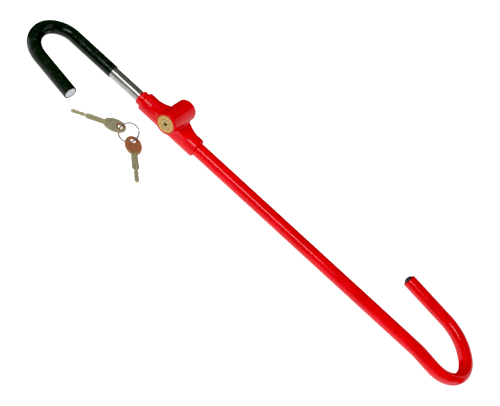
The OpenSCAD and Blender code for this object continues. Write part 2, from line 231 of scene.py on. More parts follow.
@dataclass(frozen=True)
class BentPath:
    """A flat centre line of straight runs and arcs; a turn to the left is positive.

    An arc's hub lies at one radius to the side, and its points are hub + radius * (sin h, -cos h)
    for the heading h, with the sign of the turn.
    """

    start: Triple
    heading_deg: float
    runs: tuple[Run, ...]

    @property
    def length(self) -> float:
        """Length of the whole centre line."""
        return sum(run.span for run in self.runs)

    def at(self, s: Array) -> tuple[Array, Array, Array]:
        """Centres, side directions and upward directions at the lengths s."""
        flat, heading = np.zeros((len(s), 2)), np.zeros(len(s))
        here, h, begun = np.array(self.start[:2]), math.radians(self.heading_deg), 0.0
        for number, run in enumerate(self.runs):
            first, last = number == 0, number == len(self.runs) - 1
            mine = ((s >= begun) | first) & ((s < begun + run.span) | last)
            done = np.append(s[mine] - begun, run.span)
            if run.turn_deg:
                sign = math.copysign(1.0, run.turn_deg)
                hub = here + sign * run.radius * np.array([-math.sin(h), math.cos(h)])
                turned = h + sign * done / run.radius
                spots = hub + sign * run.radius * np.stack([np.sin(turned), -np.cos(turned)], -1)
            else:
                turned = np.full(len(done), h)
                spots = here + done[:, None] * np.array([math.cos(h), math.sin(h)])
            flat[mine], heading[mine] = spots[:-1], turned[:-1]
            here, h, begun = spots[-1], turned[-1], begun + run.span
        centre = np.column_stack([flat, np.full(len(s), self.start[2])])
        side = np.column_stack([-np.sin(heading), np.cos(heading), np.zeros(len(s))])
        return centre, side, np.broadcast_to(UP, centre.shape)

    def flattening(self, s: Array, ease: float) -> Array:
        """Share by which each section is narrowed, eased over a length at each end of a bend."""
        amount, begun = np.zeros(len(s)), 0.0
        for run in self.runs:
            inside = np.clip(0.5 + 0.5 * np.minimum(s - begun, begun + run.span - s) / ease, 0, 1)
            amount = np.maximum(amount, run.flatten * eased(inside))
            begun += run.span
        return amount


def carried(path: BentPath, outline: Array, around: int = 96, closed: bool = False,
            flatten: Optional[Array] = None) -> Skin:
    """A round profile carried along a centre line: point = centre(s) + r (cos a side + sin a up).

    Args:
        path: the centre line.
        outline: (n, 2) of length along the path and radius.
        around: points round the profile.
        closed: whether the outline closes on itself, as on a tube with a bore.
        flatten: share by which each section is narrowed sideways, and half of it widened upwards.

    Returns:
        The closed surface.
    """
    centre, side, up = path.at(outline[:, 0])
    squeeze = np.zeros(len(outline)) if flatten is None else flatten
    wide = (outline[:, 1] * (1 - squeeze))[:, None, None] * side[:, None]
    high = (outline[:, 1] * (1 + squeeze / 2))[:, None, None] * up[:, None]
    c, s = (part[None, :, None] for part in circle(around))
    points = centre[:, None] + c * wide + s * high
    return Skin(points.reshape(-1, 3), grid_faces(len(outline), around, closed)).outward()


def field_skin(low: Array, high: Array, step: float,
               field_of: Callable[[Array], Array]) -> Skin:
    """The zero surface of a distance field, as one quad for each grid edge that crosses it.

    A cell that the surface passes through gets one point, at the mean of its edges' crossings;
    the points are then drawn onto the surface by Newton steps, p - f grad f / |grad f|^2.

    Args:
        low: lowest corner of the space.
        high: highest corner of the space.
        step: size of a cell.
        field_of: distance of each of (..., 3) places from the surface, negative inside.

    Returns:
        The closed surface.
    """
    axes = [np.arange(low[k] - 2 * step, high[k] + 3 * step, step) for k in range(3)]
    places = np.stack(np.meshgrid(*axes, indexing="ij"), -1)
    value = field_of(places)
    inside = value < 0
    cells = tuple(n - 1 for n in value.shape)
    total, count = np.zeros(cells + (3,)), np.zeros(cells)
    corner = [(a, b, c) for a in (0, 1) for b in (0, 1) for c in (0, 1)]

    def shifted(array: Array, by: tuple[int, int, int]) -> Array:
        """The array's values at one corner of every cell."""
        return array[by[0]:by[0] + cells[0], by[1]:by[1] + cells[1], by[2]:by[2] + cells[2]]

    for a in corner:
        for k in range(3):
            if a[k]:
                continue
            b = tuple(a[m] + (m == k) for m in range(3))
            fa, fb = shifted(value, a), shifted(value, b)
            cross = shifted(inside, a) != shifted(inside, b)
            t = np.where(cross, fa / np.where(cross, fa - fb, 1.0), 0.0)
            spot = shifted(places, a) + t[..., None] * (shifted(places, b) - shifted(places, a))
            total += cross[..., None] * spot
            count += cross
    number = np.full(cells, -1)
    number[count > 0] = np.arange((count > 0).sum())
    points = total[count > 0] / count[count > 0][:, None]
    quads = []
    for k in range(3):
        m, n = (k + 1) % 3, (k + 2) % 3
        first = np.take(inside, range(cells[k]), k)
        second = np.take(inside, range(1, cells[k] + 1), k)
        at = np.argwhere(first != second)
        at = at[(at[:, m] > 0) & (at[:, n] > 0) & (at[:, m] < cells[m]) & (at[:, n] < cells[n])]
        back_m, back_n = np.eye(3, dtype=int)[m], np.eye(3, dtype=int)[n]
        ring = [number[tuple(c.T)] for c in (at, at - back_m, at - back_m - back_n, at - back_n)]
        quad = np.stack(ring, -1)
        rises = first[tuple(at.T)]
        quads.append(np.where(rises[:, None], quad, quad[:, ::-1]))
    reach = step * 0.1
    for _ in range(4):
        rise = [field_of(points + reach * e) - field_of(points - reach * e) for e in np.eye(3)]
        slope = np.stack(rise, -1) / (2 * reach)
        size = np.maximum((slope ** 2).sum(-1), 0.25)
        points = points - np.clip(field_of(points) / size, -step, step)[:, None] * slope
    return Skin(points, np.concatenate(quads)).outward()


def blend_union(a: Array, b: Array, radius: float) -> Array:
    """Union of two distance fields with a fillet: min(a, b) - h^2 r / 4, h = 1 - |a - b| / r."""
    h = np.maximum(1 - np.abs(a - b) / radius, 0)
    return np.minimum(a, b) - h * h * radius / 4


def blend_cut(a: Array, b: Array, radius: float) -> Array:
    """A distance field a with b taken out, its edge rounded like a union's fillet."""
    return -blend_union(-a, b, radius)


def drum(across: Array, along: Array, radius: float, half: float, edge: float,
         chamfer: Union[float, Array] = 0.0) -> Array:
    """Distance from a round drum whose edges are chamfered and then rounded.

    Args:
        across: each place's distance from the drum's axis.
        along: each place's distance from the drum's middle, along its axis.
        radius: the drum's radius.
        half: half its length.
        edge: radius of the rounded edges.
        chamfer: width of the chamfer, one number or one for each place.

    Returns:
        The distances.
    """
    x, y = across - radius, np.abs(along) - half
    bevel = (x + y + chamfer) / math.sqrt(2)
    return blend_cut(blend_cut(x, -y, edge), -bevel, edge)


# ---------------------------- shading


def arithmetic(operation: str, swapped: bool = False) -> Callable[["Value", object], "Value"]:
    """A method that adds one Math node; its inputs are swapped for a reflected operator.

    Args:
        operation: what the node does.
        swapped: whether the other number comes first.

    Returns:
        The method.
    """

    def method(self: "Value", other: object) -> "Value":
        """The node's output."""
        pair = (other, self) if swapped else (self, other)
        return self.graph.value("ShaderNodeMath", {"operation": operation}, dict(enumerate(pair)))

    return method


class Value:
    """A number socket that arithmetic works on."""

    def __init__(self, graph: "Graph", socket: Socket) -> None:
        """Args: graph, the node tree it belongs to; socket, the output it stands for."""
        self.graph = graph
        self.socket = socket

    __add__ = __radd__ = arithmetic("ADD")
    __mul__ = __rmul__ = arithmetic("MULTIPLY")
    __sub__, __rsub__ = arithmetic("SUBTRACT"), arithmetic("SUBTRACT", True)
    __truediv__, __rtruediv__ = arithmetic("DIVIDE"), arithmetic("DIVIDE", True)
    __pow__, __rpow__ = arithmetic("POWER"), arithmetic("POWER", True)

    def __neg__(self) -> "Value":
        """The value with its sign changed."""
        return self * -1.0

    def sine(self) -> "Value":
        """Sine of the value in radians."""
        return self.graph.value("ShaderNodeMath", {"operation": "SINE"}, {0: self})

    def size(self) -> "Value":
        """The value without its sign."""
        return self.graph.value("ShaderNodeMath", {"operation": "ABSOLUTE"}, {0: self})

    def between(self, low: float, high: float) -> "Value":
        """0 below low, 1 above high, and an eased rise between them."""
        return self.graph.value("ShaderNodeMapRange", {"interpolation_type": "SMOOTHSTEP"},
                                {"Value": self, "From Min": low, "From Max": high})


class Graph:
    """Builds the nodes of one material, or of the surround."""

    def __init__(self, owner: object) -> None:
        """Args: owner, the new material or world."""
        self.owner = owner
        owner.use_nodes = True
        self.tree = owner.node_tree
        self.tree.nodes.clear()

    def node(self, kind: str, settings: Optional[dict] = None,
             inputs: Optional[dict] = None) -> bpy.types.Node:
        """Adds a node, applies its settings, then fills or links its sockets.

        Args:
            kind: the node's type.
            settings: its properties; "stops" holds a ramp's (place, colour) pairs.
            inputs: a number, colour, Value or socket for each input, by name or place; a colour
                has three parts or four.

        Returns:
            The node.
        """
        made = self.tree.nodes.new(kind)
        for key, setting in (settings or {}).items():
            if key == "stops":
                ramp = made.color_ramp
                while len(ramp.elements) < len(setting):
                    ramp.elements.new(0.5)
                for element, (place, colour) in zip(ramp.elements, setting):
                    element.position, element.color = place, (*colour, 1.0)
            else:
                setattr(made, key, setting)
        for key, given in (inputs or {}).items():
            target = made.inputs[key]
            given = given.socket if isinstance(given, Value) else given
            if isinstance(given, Socket):
                self.tree.links.new(given, target)
            else:
                target.default_value = (*given[:3], 1.0) if target.type == "RGBA" else given
        return made

    def value(self, kind: str, settings: Optional[dict] = None, inputs: Optional[dict] = None,
              output: object = 0) -> Value:
        """Adds a node and returns one of its outputs as a Value."""
        return Value(self, self.node(kind, settings, inputs).outputs[output])

    def place(self, centre: Sequence[float] = (0, 0, 0), scale: Sequence[float] = (1, 1, 1),
              turn: Sequence[float] = (0, 0, 0)) -> Socket:
        """Object coordinates about a centre, stretched by a scale."""
        spot = self.node("ShaderNodeTexCoord").outputs["Object"]
        shift = tuple(-c * s for c, s in zip(centre, scale))
        inputs = {"Vector": spot, "Scale": scale, "Location": shift, "Rotation": turn}
        return self.node("ShaderNodeMapping", None, inputs).outputs[0]

    def parts(self, vector: Socket) -> tuple[Value, ...]:
        """The X, Y and Z parts of a vector."""
        split = self.node("ShaderNodeSeparateXYZ", None, {0: vector})
        return tuple(Value(self, part) for part in split.outputs)

    def noise(self, at: Socket, scale: float, detail: float = 4.0,
              roughness: float = 0.55) -> Value:
        """Fractal noise, 0 to 1."""
        return self.value("ShaderNodeTexNoise", None,
                          {"Vector": at, "Scale": scale, "Detail": detail, "Roughness": roughness})

    def speckle(self, at: Socket, scale: float) -> Value:
        """Distance to the nearest of many scattered spots."""
        return self.value("ShaderNodeTexVoronoi", None, {"Vector": at, "Scale": scale})

    def mixed(self, share: object, first: object, second: object) -> Socket:
        """A colour between two, by a share of the second."""
        inputs = {"Factor": share, 6: first, 7: second}
        return self.node("ShaderNodeMix", {"data_type": "RGBA"}, inputs).outputs[2]

    def bump(self, height: Value, distance: float, strength: float = 1.0) -> Socket:
        """A normal from a height pattern, whose unit stands for `distance` metres."""
        return self.node("ShaderNodeBump", None,
                         {"Height": height, "Distance": distance, "Strength": strength}).outputs[0]

    def finish(self, **inputs: object) -> Material:
        """Adds the Principled shader with its inputs, links it and returns the material.

        Args:
            inputs: the shader's sockets, with spaces written as underscores.

        Returns:
            The material.
        """
        named = {key.replace("_", " "): given for key, given in inputs.items()}
        shader = self.node("ShaderNodeBsdfPrincipled", None, named)
        self.node("ShaderNodeOutputMaterial", None, {"Surface": shader.outputs[0]})
        return self.owner


class Finish(Protocol):
    """A finish that can make its material."""

    def material(self) -> Material:
        """The node material."""


@dataclass(frozen=True)
class RedCoat:
    """Thick gloss coating, over smooth tube or over cast metal.

    Args:
        name: the material's name.
        grain: height of the surface's grain, in metres.
        grain_scale: how fine the grain is.
        gloss: roughness of the coating.
    """

    name: str
    grain: float
    grain_scale: float
    gloss: float
    deep: Triple = (0.62, 0.001, 0.005)
    bright: Triple = (0.72, 0.002, 0.009)

    def material(self) -> Material:
        """Red that varies with the coat's thickness, with orange peel under a clear coat."""
        g = Graph(bpy.data.materials.new(self.name))
        at = g.place()
        peel = g.noise(at, self.grain_scale, 3.0)
        flow = g.noise(at, self.grain_scale * 0.12, 2.0)
        patch = g.noise(at, 38.0, 3.0).between(0.3, 0.7)
        height = peel * 0.6 + flow * 1.6
        return g.finish(
            Base_Color=g.mixed(patch, self.deep, self.bright),
            Roughness=self.gloss + (peel - 0.5) * 0.12 + patch * 0.03,
            Specular_IOR_Level=0.5, Coat_Weight=0.45, Coat_Roughness=0.06,
            Normal=g.bump(height, self.grain))


@dataclass(frozen=True)
class BlackVinyl:
    """Dipped vinyl: near black with a green cast, wavy gloss and fine scuffs."""

    name: str = "dipped_vinyl"
    dark: Triple = (0.024, 0.029, 0.024)
    worn: Triple = (0.034, 0.040, 0.035)

    def material(self) -> Material:
        """Gloss that breaks up over a slow wave, with a duller scuffed share."""
        g = Graph(bpy.data.materials.new(self.name))
        at = g.place()
        wave = g.noise(at, 55.0, 2.0)
        skin = g.noise(at, 900.0, 3.0)
        scuff = g.noise(at, 140.0, 6.0, 0.7).between(0.52, 0.72)
        return g.finish(
            Base_Color=g.mixed(scuff, self.dark, self.worn),
            Roughness=0.2 + scuff * 0.14 + (skin - 0.5) * 0.08,
            Specular_IOR_Level=0.35, Coat_Weight=0.2, Coat_Roughness=0.08,
            Normal=g.bump(wave * 1.8 + skin * 0.12, 0.0006))


@dataclass(frozen=True)
class Metal:
    """Bare or plated metal with a drawn or turned grain.

    Args:
        name: the material's name.
        light: its brighter colour.
        dull: its tarnished colour.
        gloss: roughness where it is clean.
        stretch: how the grain's pattern is scaled along X, Y and Z.
        grain: height of the grain, in metres.
        grain_scale: how fine the grain is.
    """

    name: str
    light: Triple
    dull: Triple
    gloss: float = 0.2
    stretch: Triple = (1.0, 1.0, 1.0)
    grain: float = 0.00002
    grain_scale: float = 700.0

    def material(self) -> Material:
        """Metal whose colour dulls in patches, with a fine grain drawn along one direction."""
        g = Graph(bpy.data.materials.new(self.name))
        line = g.noise(g.place(scale=self.stretch), self.grain_scale, 4.0, 0.65)
        patch = g.noise(g.place(), 160.0, 5.0, 0.6).between(0.42, 0.68)
        return g.finish(
            Base_Color=g.mixed(patch * 0.7, self.light, self.dull), Metallic=1.0,
            Roughness=self.gloss + patch * 0.1 + (line - 0.5) * 0.14,
            Normal=g.bump(line, self.grain))


@dataclass(frozen=True)
class ChromedBar:
    """Bright chrome with a drawn grain, and a pale sawn end.

    Args:
        end: centre of the sawn face.
        reach: distance from it that the sawn face fills; the sleeve hides the bar's side there.
    """

    end: Triple
    reach: float
    light: Triple = (0.66, 0.67, 0.62)
    dull: Triple = (0.52, 0.53, 0.47)
    sawn: Triple = (0.62, 0.63, 0.70)

    def material(self) -> Material:
        """Chrome dulled in patches, turning to matt grey with saw marks near the end's centre."""
        g = Graph(bpy.data.materials.new("chromed_bar"))
        grain = g.noise(g.place(scale=(0.03, 1.0, 1.0)), 700.0, 4.0, 0.65)
        patch = g.noise(g.place(), 160.0, 5.0, 0.6).between(0.42, 0.68)
        away = g.value("ShaderNodeVectorMath", {"operation": "LENGTH"},
                       {0: g.place(centre=self.end)}, "Value")
        face = 1 - away.between(self.reach, self.reach * 1.06)
        marks = g.noise(g.place(scale=(1.0, 1.0, 0.08)), 1800.0, 3.0)
        chrome = g.mixed(patch * 0.7, self.light, self.dull)
        return g.finish(
            Base_Color=g.mixed(face, chrome, self.sawn), Metallic=1 - face * 0.85,
            Roughness=0.19 + patch * 0.1 + (grain - 0.5) * 0.14 + face * 0.3,
            Normal=g.bump(grain * (1 - face) * 0.1 + marks * face, 0.00002))


@dataclass(frozen=True)
class TurnedBrass:
    """Brass faced on a lathe: fine rings about the barrel's axis, tarnished towards its edges.

    Args:
        name: the material's name.
        axis_z: height of the barrel's axis.
        light: clean brass.
        dull: tarnished brass.
        edge: radius at which the tarnish gathers.
    """

    name: str
    axis_z: float
    light: Triple
    dull: Triple
    edge: float

    def material(self) -> Material:
        """Rings from the sine of the radius, with noise to break them up."""
        g = Graph(bpy.data.materials.new(self.name))
        x, _, z = g.parts(g.place(centre=(0, 0, self.axis_z)))
        radius = (x * x + z * z) ** 0.5
        grime = g.noise(g.place(), 420.0, 5.0, 0.65)
        rings = (radius * (2 * math.pi / 0.00032) + grime * 3.0).sine()
        rim = (radius - self.edge).size().between(0.0, 0.0009)
        stain = grime.between(0.45, 0.7)
        tarnish = (1 - rim) * 0.75 + stain * 0.35
        return g.finish(
            Base_Color=g.mixed(tarnish, self.light, self.dull), Metallic=0.85,
            Roughness=0.33 + stain * 0.16 + (1 - rim) * 0.12,
            Normal=g.bump(rings * 0.5 + grime * 0.8, 0.00003))


@dataclass(frozen=True)
class MouldedRubber:
    """Moulded black plastic with a satin skin."""

    name: str = "moulded_plug"

    def material(self) -> Material:
        """Satin black with a fine pitted skin."""
        g = Graph(bpy.data.materials.new(self.name))
        at = g.place()
        pits, dust = g.speckle(at, 1500.0), g.noise(at, 300.0, 5.0).between(0.55, 0.75)
        return g.finish(Base_Color=g.mixed(dust, (0.045, 0.047, 0.042), (0.075, 0.077, 0.07)),
                        Roughness=0.32 + dust * 0.2, Normal=g.bump(pits, 0.00004))


@dataclass(frozen=True)
class KeyNickel:
    """Nickel worn through to warm brass at a key's edges and over part of its bow.

    Args:
        name: the material's name.
        hole: where the ring hole is; the wear is strongest round it.
        warm_reach: how far the warm wear spreads from the hole.
        warm: colour of the wear.
    """

    name: str
    hole: Triple
    warm_reach: float
    warm: Triple
    plate: Triple = (0.50, 0.47, 0.31)
    grime: Triple = (0.11, 0.10, 0.06)

    def material(self) -> Material:
        """Plate, grime in patches, and a warm wear that fades with distance from the hole."""
        g = Graph(bpy.data.materials.new(self.name))
        x, y, _ = g.parts(g.place(centre=self.hole))
        ragged = g.noise(g.place(), 240.0, 5.0, 0.6)
        worn = 1 - ((x * x + y * y) ** 0.5 + (ragged - 0.5) * 0.006).between(
            self.warm_reach * 0.72, self.warm_reach * 1.15)
        dirt = g.noise(g.place(), 520.0, 6.0, 0.65).between(0.5, 0.72)
        scratch = g.noise(g.place(scale=(1, 0.12, 1), turn=(0, 0, 0.6)), 1400.0, 3.0)
        tone = g.mixed(dirt * 0.7, self.plate, self.grime)
        return g.finish(
            Base_Color=g.mixed(worn * 0.85, tone, self.warm), Metallic=0.55,
            Roughness=0.3 + dirt * 0.2 + (scratch - 0.5) * 0.1,
            Normal=g.bump(scratch * 0.4 + ragged, 0.00005))


@dataclass(frozen=True)
class PaleFloor:
    """The plain pale surface that the lock lies on."""

    name: str = "pale_floor"

    def material(self) -> Material:
        """Matt white that gives off light of its own, so that shadows stay faint."""
        g = Graph(bpy.data.materials.new(self.name))
        drift = g.noise(g.place(), 3.0, 2.0)
        return g.finish(Base_Color=g.mixed(drift, (0.55, 0.55, 0.55), (0.52, 0.52, 0.52)),
                        Roughness=0.9, Specular_IOR_Level=0.1, Emission_Color=(1.0, 1.0, 1.0, 1.0),
                        Emission_Strength=0.92)


class Slot(Enum):
    """The record's material slots; no piece in this script uses them."""

    RED = "red_coating"
    VINYL = "black_vinyl"
    PLUG = "black_plug"
    CHROME = "chrome"
    SPRING = "spring_steel"
    KEY = "key_nickel"


class Body(Enum):
    """The frame's bodies that the visual pieces ride on."""

    FRAME = "frame"
    HOOK = "hook"
    RING = "ring"
    KEY_A = "first_key"
    KEY_B = "second_key"


def dress(piece: Piece, finish: Finish) -> None:
    """Gives a piece one material, in every slot that it has."""
    material = finish.material()
    if not piece.data.materials:
        piece.data.materials.append(material)
    for number in range(len(piece.material_slots)):
        piece.material_slots[number].material = material


def stand_for(piece: Piece, body: Body, nodes: Sequence[str], finish: Finish) -> None:
    """Dresses a piece, lets it ride on a body and hides the nodes that it stands for."""
    dress(piece, finish)
    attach(piece, body.value)
    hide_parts(*nodes)
    LOG.info("%s: %d faces on %s", piece.name, len(piece.data.polygons), body.value)


def joint(name: str) -> dict:
    """The record's entry for a joint."""
    return next(j for j in frame["record"]["behaviour"]["joints"] if j["name"] == name)


def box(node: str) -> tuple[Array, Array]:
    """A node's lowest and highest corners as arrays."""
    low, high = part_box(node)
    return np.array(low), np.array(high)


# ---------------------------- hook bar


@dataclass
class HookBar:
    """The chromed rod with its wheel hook, and the vinyl sleeve over the hook."""

    bend: Run = Run(0, 23.5 * MM, 97.0, 0.03)
    wide_bend: Run = Run(0, 37.2 * MM, 73.0, 0.01)
    free_leg: Run = Run(52 * MM)
    groove_pitch: float = 15 * MM
    grooves_out: int = 14
    groove_depth: float = 1.65 * MM
    groove_half: float = 5.4 * MM
    groove_round: float = 2.2
    groove_margin: float = 1.08
    spigot_radius: float = 4.5 * MM
    lip: float = 0.45 * MM

    def __post_init__(self) -> None:
        """Reads the sizes that the frame holds."""
        rod_low, rod_high = box("hook_rod")
        vinyl_low, vinyl_high = box("hook_sleeve")
        self.rod_radius = (rod_high[2] - rod_low[2]) / 2
        self.vinyl_radius = (vinyl_high[2] - vinyl_low[2]) / 2
        self.axis_z = (vinyl_high[2] + vinyl_low[2]) / 2
        self.inner_end = rod_high[0]
        self.vinyl_start = vinyl_high[0]
        self.bend_start = vinyl_low[0] + self.vinyl_radius + self.bend.radius
        self.shoulder = box("stop_bush")[0][0] - 0.3 * MM

    def path(self) -> BentPath:
        """Centre line from the rod's inner end to the free end of the hook."""
        runs = (Run(self.inner_end - self.bend_start), self.bend, self.wide_bend, self.free_leg)
        return BentPath((self.inner_end, 0.0, self.axis_z), 180.0, runs)

    def rod(self) -> Piece:
        """The rod: a spigot, a shoulder, a row of round-bottomed grooves, then the bend."""
        path = self.path()
        end, shoulder, radius = path.length, self.inner_end - self.shoulder, self.rod_radius
        spigot = self.spigot_radius
        ends = rounded([(0, 0, 0), (0, spigot, 0.5 * MM), (shoulder, spigot, 0),
                        (shoulder, radius, 0.5 * MM), (shoulder + 4 * MM, radius, 0)])
        across = np.linspace(-self.groove_margin, self.groove_margin, 15)
        centres = self.inner_end - self.groove_pitch * np.arange(self.grooves_out, -2, -1)
        s = (centres[:, None] + across * self.groove_half).ravel()
        depth = np.maximum(1 - np.abs(across) ** self.groove_round, 0) * self.groove_depth
        grooves = np.column_stack([s, np.tile(radius - depth, len(centres))])
        smooth = np.array([[s[-1] + 2 * MM, radius], [end - 1.2 * MM, radius]])
        tip = rounded([(end - 1 * MM, radius, 0), (end, radius, 0.6 * MM), (end, 0, 0)])
        outline = np.vstack([ends, grooves, finer(smooth, 2.2 * MM), tip])
        return carried(path, outline, 80).build("hook_rod_skin", 30.0)

    def sleeve(self) -> Piece:
        """The vinyl sleeve: a wall over the rod with soft lips, thicker at the dipped end."""
        path = self.path()
        start, end = self.inner_end - self.vinyl_start, path.length + 0.25 * MM
        inner, outer = self.rod_radius + 0.02 * MM, self.vinyl_radius
        corners = [(start, inner, 0.1 * MM), (start, outer, self.lip),
                   (end, outer, self.lip * 1.6), (end, inner, 0.1 * MM)]
        outline = finer(rounded(corners, closed=True), 2.0 * MM, closed=True)
        wave = np.sin(outline[:, 0] / (9 * MM)) * np.sin(outline[:, 0] / (23 * MM)) * 0.05 * MM
        outline[:, 1] += np.where(outline[:, 1] > outer - 0.05 * MM, wave - 0.05 * MM, 0)
        skin = carried(path, outline, 96, True, path.flattening(outline[:, 0], 8 * MM))
        return skin.build("hook_sleeve_skin")

    def build(self) -> None:
        """Builds and dresses the rod and its sleeve."""
        end = self.path().at(np.array([self.path().length]))[0][0]
        chrome = ChromedBar(tuple(end), self.rod_radius * 1.03)
        stand_for(self.rod(), Body.HOOK, ["hook_rod"], chrome)
        stand_for(self.sleeve(), Body.HOOK, ["hook_sleeve"], BlackVinyl())


# ---------------------------- pedal tube


@dataclass
class PedalTube:
    """The coated tube with its pedal hook, and the plug in its open end."""

    setback: Run = Run(0, 46 * MM, -9.2)
    setback_run: Run = Run(19.4 * MM)
    hook: Run = Run(0, 33 * MM, 119.6, 0.2)
    hook_wide: Run = Run(0, 50.5 * MM, 61.7, 0.03)
    tail: Run = Run(63.7 * MM)
    straight_end: float = 366 * MM
    bore_radius: float = 6.65 * MM
    dome_height: float = 3.3 * MM
    dome_radius: float = 5.5 * MM
    coat: RedCoat = RedCoat("tube_coat", 0.00003, 500.0, 0.22)

    def __post_init__(self) -> None:
        """Reads the sizes that the frame holds."""
        low, high = box("pedal_tube")
        self.radius = (high[2] - low[2]) / 2
        self.axis_z = (high[2] + low[2]) / 2
        self.start = low[0]

    def path(self) -> BentPath:
        """Centre line from inside the lock head to the end of the pedal hook."""
        runs = (Run(self.straight_end - self.start), self.setback, self.setback_run, self.hook,
                self.hook_wide, self.tail)
        return BentPath((self.start, 0.0, self.axis_z), 0.0, runs)

    def tube(self) -> Piece:
        """The tube's wall, with rounded ends, narrowed a little where it is bent."""
        path = self.path()
        end = path.length
        corners = [(0, self.bore_radius, 0.2 * MM), (0, self.radius, 0.3 * MM),
                   (end, self.radius, 0.7 * MM), (end, self.bore_radius, 0.4 * MM)]
        outline = finer(rounded(corners, closed=True), 2.6 * MM, closed=True)
        flatten = path.flattening(outline[:, 0], 16 * MM)
        return carried(path, outline, 96, True, flatten).build("pedal_tube_skin")

    def plug(self) -> Piece:
        """The plug: a stem in the bore and a dome over the tube's mouth."""
        path = self.path()
        end, bore, rim = path.length, self.bore_radius, self.dome_radius
        lip = end + 0.35 * MM
        crown = np.linspace(0, math.pi / 2, 12)[1:]
        stem = rounded([(end - 10 * MM, 0, 0), (end - 10 * MM, 5.6 * MM, 0.8 * MM),
                        (end - 7 * MM, bore, 0.3 * MM), (end - 0.6 * MM, bore, 0),
                        (end + 0.05 * MM, rim + 0.55 * MM, 0.1 * MM), (lip, rim, 0.1 * MM)])
        rise = (self.dome_height - 0.35 * MM) * np.sin(crown)
        cap = np.column_stack([lip + rise, rim * np.cos(crown) ** 0.8])
        return carried(path, np.vstack([stem, cap]), 72).build("tube_plug_skin")

    def build(self) -> None:
        """Builds and dresses the tube and its plug."""
        stand_for(self.tube(), Body.FRAME, ["pedal_tube"], self.coat)
        stand_for(self.plug(), Body.FRAME, ["tube_end_plug"], MouldedRubber())


# ---------------------------- lock head


@dataclass
class LockHead:
    """The cast head: a sleeve on the tube, a cross barrel, webs between them, and the cylinder."""

    sleeve_radius: float = 11.2 * MM
    barrel_radius: float = 12.5 * MM
    bore_radius: float = 10.32 * MM
    bore_end: float = 11.6 * MM
    tube_radius: float = 8.02 * MM
    back_chamfer: float = 2.6 * MM
    face_chamfer: float = 0.4 * MM
    fillet: float = 3.0 * MM
    cell: float = 0.5 * MM
    web_out_x: float = 27 * MM
    web_in_x: float = 12 * MM
    web_out: float = 8 * MM
    web_half_wide: float = 12.3 * MM
    web_rise: float = 12.8 * MM
    screw_x: tuple[float, float] = (-34 * MM, 33 * MM)
    screw_radius: float = 2.5 * MM
    pin_y: float = -15.4 * MM
    pin_radius: float = 1.5 * MM
    detent_rise: float = 6 * MM
    detent_radius: float = 2 * MM
    coat: RedCoat = RedCoat("cast_coat", 0.00007, 300.0, 0.3)

    def __post_init__(self) -> None:
        """Reads the sizes that the frame holds, and sets the brass's rings about the barrel."""
        self.low, self.high = box("lock_housing")
        bar_low, bar_high = box("locking_bar")
        tube_low, tube_high = box("pedal_tube")
        self.barrel_z = (bar_low[2] + bar_high[2]) / 2
        self.axis_z = (tube_low[2] + tube_high[2]) / 2
        self.ring = TurnedBrass("brass_ring", self.barrel_z, (0.86, 0.56, 0.24),
                                (0.62, 0.28, 0.08), 10.1 * MM)
        self.plug = TurnedBrass("brass_plug", self.barrel_z, (0.74, 0.60, 0.30),
                                (0.34, 0.24, 0.09), 6.0 * MM)

    def webs(self, p: Array) -> Array:
        """Distance from the webs: the innermost of their sloped, top, side and end planes."""
        x, y, z = np.abs(p[..., 0]), np.abs(p[..., 1]), p[..., 2] - self.axis_z
        worst = x - self.web_out_x
        for across, most in ((z, self.web_rise), (y, self.web_half_wide)):
            steep = (most - self.web_out) / (self.web_out_x - self.web_in_x)
            slope = (across - most + (x - self.web_in_x) * steep) / math.hypot(1, steep)
            worst = blend_cut(worst, -blend_cut(slope, most - across, 2 * MM), 3 * MM)
        return np.maximum(worst, -z - 1 * MM)

    def metal(self, p: Array) -> Array:
        """Distance from the whole casting: rounded drums and webs, less its bores."""
        x, y, z = p[..., 0], p[..., 1], p[..., 2]
        bar_r, lock_r = np.hypot(y, z - self.axis_z), np.hypot(x, z - self.barrel_z)
        mid, half = (self.low + self.high) / 2, (self.high - self.low) / 2
        sleeve = drum(bar_r, x - mid[0], self.sleeve_radius, half[0], 0.8 * MM, 0.9 * MM)
        chamfer = np.where(y > mid[1], self.back_chamfer, self.face_chamfer)
        barrel = drum(lock_r, y - mid[1], self.barrel_radius, half[1], 0.8 * MM, chamfer)
        body = blend_union(blend_union(sleeve, self.webs(p), 2.4 * MM), barrel, self.fillet)
        body = np.maximum(body, self.low[2] - z)
        body = np.maximum(body, np.abs(y - mid[1]) - half[1])
        bores = np.minimum(bar_r - self.tube_radius,
                           np.maximum(lock_r - self.bore_radius, y - self.bore_end))
        for screw in self.screw_x:
            hole = np.hypot(x - screw, y) - self.screw_radius
            bores = np.minimum(bores, np.maximum(hole, z - self.axis_z))
        pin = np.maximum(np.hypot(x, y - self.pin_y) - self.pin_radius, z - self.barrel_z)
        detent = np.hypot(x, z - self.barrel_z - self.detent_rise) - self.detent_radius
        detent = np.maximum(detent, self.bore_end - y)
        return blend_cut(body, np.minimum(np.minimum(bores, pin), detent), 0.5 * MM)

    def build(self) -> None:
        """Builds the casting, and dresses the guide sleeve and what shows of the cylinder."""
        skin = field_skin(self.low, self.high, self.cell, self.metal)
        head = skin.build("lock_head_skin", 60.0)
        stand_for(head, Body.FRAME, ["lock_housing"], self.coat)
        dress(frame["nodes"]["guide_sleeve"], RedCoat("guide_coat", 0.00005, 400.0, 0.28))
        for finish, nodes in ((self.ring, ("cylinder_body", "cylinder_shell")),
                              (self.plug, ("cylinder_plug", "key_pins"))):
            for node in nodes:
                dress(frame["nodes"][node], finish)


# ---------------------------- keys


